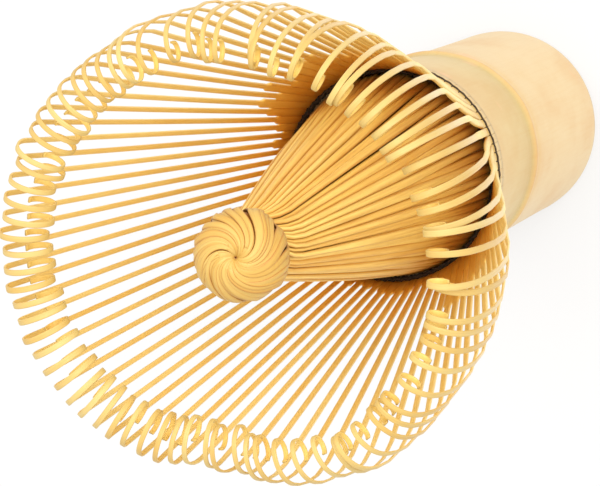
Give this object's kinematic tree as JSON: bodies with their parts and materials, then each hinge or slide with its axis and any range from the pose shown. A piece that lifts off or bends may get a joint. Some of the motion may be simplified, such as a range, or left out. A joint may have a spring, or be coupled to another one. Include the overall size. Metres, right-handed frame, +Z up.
{
  "type": "bamboo tea whisk",
  "caption": "Bamboo tea whisk: hollow culm handle with a ridged node, flared ring of curled outer tines, gathered inner tines twisted into a ball, dark binding thread.",
  "frame": {"origin": "centre of the handle's flat end, on the surface the whisk stands on", "axes": "+Z up the handle to the tips of the tines; +X towards the side where the bloom opens most"},
  "size_m": [0.0471, 0.0466, 0.1207],
  "materials": {
    "bamboo_handle": "satin",
    "bamboo_outer_tine": "satin",
    "bamboo_inner_tine": "satin",
    "binding_thread": "matte"
  },
  "bodies": {
    "handle_body": {"handle": "bamboo_handle", "outer_tine_roots": "bamboo_outer_tine", "tip_ball": "bamboo_inner_tine", "thread_outer_wrap": "binding_thread", "thread_inner_weave": "binding_thread", "thread_stitches": "binding_thread", "inner_tines_01": "bamboo_inner_tine", "inner_tines_02": "bamboo_inner_tine", "inner_tines_03": "bamboo_inner_tine", "inner_tines_04": "bamboo_inner_tine", "inner_tines_05": "bamboo_inner_tine", "inner_tines_06": "bamboo_inner_tine", "inner_tines_07": "bamboo_inner_tine", "inner_tines_08": "bamboo_inner_tine", "inner_tines_09": "bamboo_inner_tine", "inner_tines_10": "bamboo_inner_tine", "inner_tines_11": "bamboo_inner_tine", "inner_tines_12": "bamboo_inner_tine"},
    "outer_group_01": {"outer_tines_01": "bamboo_outer_tine"},
    "outer_group_02": {"outer_tines_02": "bamboo_outer_tine"},
    "outer_group_03": {"outer_tines_03": "bamboo_outer_tine"},
    "outer_group_04": {"outer_tines_04": "bamboo_outer_tine"},
    "outer_group_05": {"outer_tines_05": "bamboo_outer_tine"},
    "outer_group_06": {"outer_tines_06": "bamboo_outer_tine"},
    "outer_group_07": {"outer_tines_07": "bamboo_outer_tine"},
    "outer_group_08": {"outer_tines_08": "bamboo_outer_tine"},
    "outer_group_09": {"outer_tines_09": "bamboo_outer_tine"},
    "outer_group_10": {"outer_tines_10": "bamboo_outer_tine"},
    "outer_group_11": {"outer_tines_11": "bamboo_outer_tine"},
    "outer_group_12": {"outer_tines_12": "bamboo_outer_tine"},
    "outer_group_13": {"outer_tines_13": "bamboo_outer_tine"},
    "outer_group_14": {"outer_tines_14": "bamboo_outer_tine"},
    "outer_group_15": {"outer_tines_15": "bamboo_outer_tine"},
    "outer_group_16": {"outer_tines_16": "bamboo_outer_tine"},
    "outer_group_17": {"outer_tines_17": "bamboo_outer_tine"},
    "outer_group_18": {"outer_tines_18": "bamboo_outer_tine"},
    "outer_group_19": {"outer_tines_19": "bamboo_outer_tine"},
    "outer_group_20": {"outer_tines_20": "bamboo_outer_tine"},
    "outer_group_21": {"outer_tines_21": "bamboo_outer_tine"},
    "outer_group_22": {"outer_tines_22": "bamboo_outer_tine"},
    "outer_group_23": {"outer_tines_23": "bamboo_outer_tine"},
    "outer_group_24": {"outer_tines_24": "bamboo_outer_tine"},
    "outer_group_25": {"outer_tines_25": "bamboo_outer_tine"},
    "outer_group_26": {"outer_tines_26": "bamboo_outer_tine"}
  },
  "joints": [
    {"name": "outer_flex_01", "type": "hinge", "parent": "handle_body", "child": "outer_group_01", "pos_m": [0.01196, 0.00097, 0.0577], "axis": [-0.0805, 0.9968, 0], "range_deg": [-3, 5], "stiffness_Nm_per_rad": 0.0045},
    {"name": "outer_flex_02", "type": "hinge", "parent": "handle_body", "child": "outer_group_02", "pos_m": [0.01138, 0.0038, 0.0577], "axis": [-0.3167, 0.9485, 0], "range_deg": [-3, 5], "stiffness_Nm_per_rad": 0.0045},
    {"name": "outer_flex_03", "type": "hinge", "parent": "handle_body", "child": "outer_group_03", "pos_m": [0.01014, 0.00641, 0.0577], "axis": [-0.5345, 0.8452, 0], "range_deg": [-3, 5], "stiffness_Nm_per_rad": 0.0045},
    {"name": "outer_flex_04", "type": "hinge", "parent": "handle_body", "child": "outer_group_04", "pos_m": [0.00831, 0.00865, 0.0577], "axis": [-0.7212, 0.6927, 0], "range_deg": [-3, 5], "stiffness_Nm_per_rad": 0.0045},
    {"name": "outer_flex_05", "type": "hinge", "parent": "handle_body", "child": "outer_group_05", "pos_m": [0.006, 0.01039, 0.0577], "axis": [-0.866, 0.5, 0], "range_deg": [-3, 5], "stiffness_Nm_per_rad": 0.0045},
    {"name": "outer_flex_06", "type": "hinge", "parent": "handle_body", "child": "outer_group_06", "pos_m": [0.00334, 0.01153, 0.0577], "axis": [-0.9605, 0.2782, 0], "range_deg": [-3, 5], "stiffness_Nm_per_rad": 0.0045},
    {"name": "outer_flex_07", "type": "hinge", "parent": "handle_body", "child": "outer_group_07", "pos_m": [0.00048, 0.01199, 0.0577], "axis": [-0.9992, 0.0403, 0], "range_deg": [-3, 5], "stiffness_Nm_per_rad": 0.0045},
    {"name": "outer_flex_08", "type": "hinge", "parent": "handle_body", "child": "outer_group_08", "pos_m": [-0.0024, 0.01176, 0.0577], "axis": [-0.9798, -0.2, 0], "range_deg": [-3, 5], "stiffness_Nm_per_rad": 0.0045},
    {"name": "outer_flex_09", "type": "hinge", "parent": "handle_body", "child": "outer_group_09", "pos_m": [-0.00514, 0.01084, 0.0577], "axis": [-0.9035, -0.4287, 0], "range_deg": [-3, 5], "stiffness_Nm_per_rad": 0.0045},
    {"name": "outer_flex_10", "type": "hinge", "parent": "handle_body", "child": "outer_group_10", "pos_m": [-0.00759, 0.0093, 0.0577], "axis": [-0.7746, -0.6324, 0], "range_deg": [-3, 5], "stiffness_Nm_per_rad": 0.0045},
    {"name": "outer_flex_11", "type": "hinge", "parent": "handle_body", "child": "outer_group_11", "pos_m": [-0.00959, 0.00721, 0.0577], "axis": [-0.6007, -0.7994, 0], "range_deg": [-3, 5], "stiffness_Nm_per_rad": 0.0045},
    {"name": "outer_flex_12", "type": "hinge", "parent": "handle_body", "child": "outer_group_12", "pos_m": [-0.01104, 0.0047, 0.0577], "axis": [-0.392, -0.92, 0], "range_deg": [-3, 5], "stiffness_Nm_per_rad": 0.0045},
    {"name": "outer_flex_13", "type": "hinge", "parent": "handle_body", "child": "outer_group_13", "pos_m": [-0.01184, 0.00192, 0.0577], "axis": [-0.1604, -0.9871, 0], "range_deg": [-3, 5], "stiffness_Nm_per_rad": 0.0045},
    {"name": "outer_flex_14", "type": "hinge", "parent": "handle_body", "child": "outer_group_14", "pos_m": [-0.01196, -0.00097, 0.0577], "axis": [0.0805, -0.9968, 0], "range_deg": [-3, 5], "stiffness_Nm_per_rad": 0.0045},
    {"name": "outer_flex_15", "type": "hinge", "parent": "handle_body", "child": "outer_group_15", "pos_m": [-0.01138, -0.0038, 0.0577], "axis": [0.3167, -0.9485, 0], "range_deg": [-3, 5], "stiffness_Nm_per_rad": 0.0045},
    {"name": "outer_flex_16", "type": "hinge", "parent": "handle_body", "child": "outer_group_16", "pos_m": [-0.01014, -0.00641, 0.0577], "axis": [0.5345, -0.8452, 0], "range_deg": [-3, 5], "stiffness_Nm_per_rad": 0.0045},
    {"name": "outer_flex_17", "type": "hinge", "parent": "handle_body", "child": "outer_group_17", "pos_m": [-0.00831, -0.00865, 0.0577], "axis": [0.7212, -0.6927, 0], "range_deg": [-3, 5], "stiffness_Nm_per_rad": 0.0045},
    {"name": "outer_flex_18", "type": "hinge", "parent": "handle_body", "child": "outer_group_18", "pos_m": [-0.006, -0.01039, 0.0577], "axis": [0.866, -0.5, 0], "range_deg": [-3, 5], "stiffness_Nm_per_rad": 0.0045},
    {"name": "outer_flex_19", "type": "hinge", "parent": "handle_body", "child": "outer_group_19", "pos_m": [-0.00334, -0.01153, 0.0577], "axis": [0.9605, -0.2782, 0], "range_deg": [-3, 5], "stiffness_Nm_per_rad": 0.0045},
    {"name": "outer_flex_20", "type": "hinge", "parent": "handle_body", "child": "outer_group_20", "pos_m": [-0.00048, -0.01199, 0.0577], "axis": [0.9992, -0.0403, 0], "range_deg": [-3, 5], "stiffness_Nm_per_rad": 0.0045},
    {"name": "outer_flex_21", "type": "hinge", "parent": "handle_body", "child": "outer_group_21", "pos_m": [0.0024, -0.01176, 0.0577], "axis": [0.9798, 0.2, 0], "range_deg": [-3, 5], "stiffness_Nm_per_rad": 0.0045},
    {"name": "outer_flex_22", "type": "hinge", "parent": "handle_body", "child": "outer_group_22", "pos_m": [0.00514, -0.01084, 0.0577], "axis": [0.9035, 0.4287, 0], "range_deg": [-3, 5], "stiffness_Nm_per_rad": 0.0045},
    {"name": "outer_flex_23", "type": "hinge", "parent": "handle_body", "child": "outer_group_23", "pos_m": [0.00759, -0.0093, 0.0577], "axis": [0.7746, 0.6324, 0], "range_deg": [-3, 5], "stiffness_Nm_per_rad": 0.0045},
    {"name": "outer_flex_24", "type": "hinge", "parent": "handle_body", "child": "outer_group_24", "pos_m": [0.00959, -0.00721, 0.0577], "axis": [0.6007, 0.7994, 0], "range_deg": [-3, 5], "stiffness_Nm_per_rad": 0.0045},
    {"name": "outer_flex_25", "type": "hinge", "parent": "handle_body", "child": "outer_group_25", "pos_m": [0.01104, -0.0047, 0.0577], "axis": [0.392, 0.92, 0], "range_deg": [-3, 5], "stiffness_Nm_per_rad": 0.0045},
    {"name": "outer_flex_26", "type": "hinge", "parent": "handle_body", "child": "outer_group_26", "pos_m": [0.01184, -0.00192, 0.0577], "axis": [0.1604, 0.9871, 0], "range_deg": [-3, 5], "stiffness_Nm_per_rad": 0.0045}
  ]
}
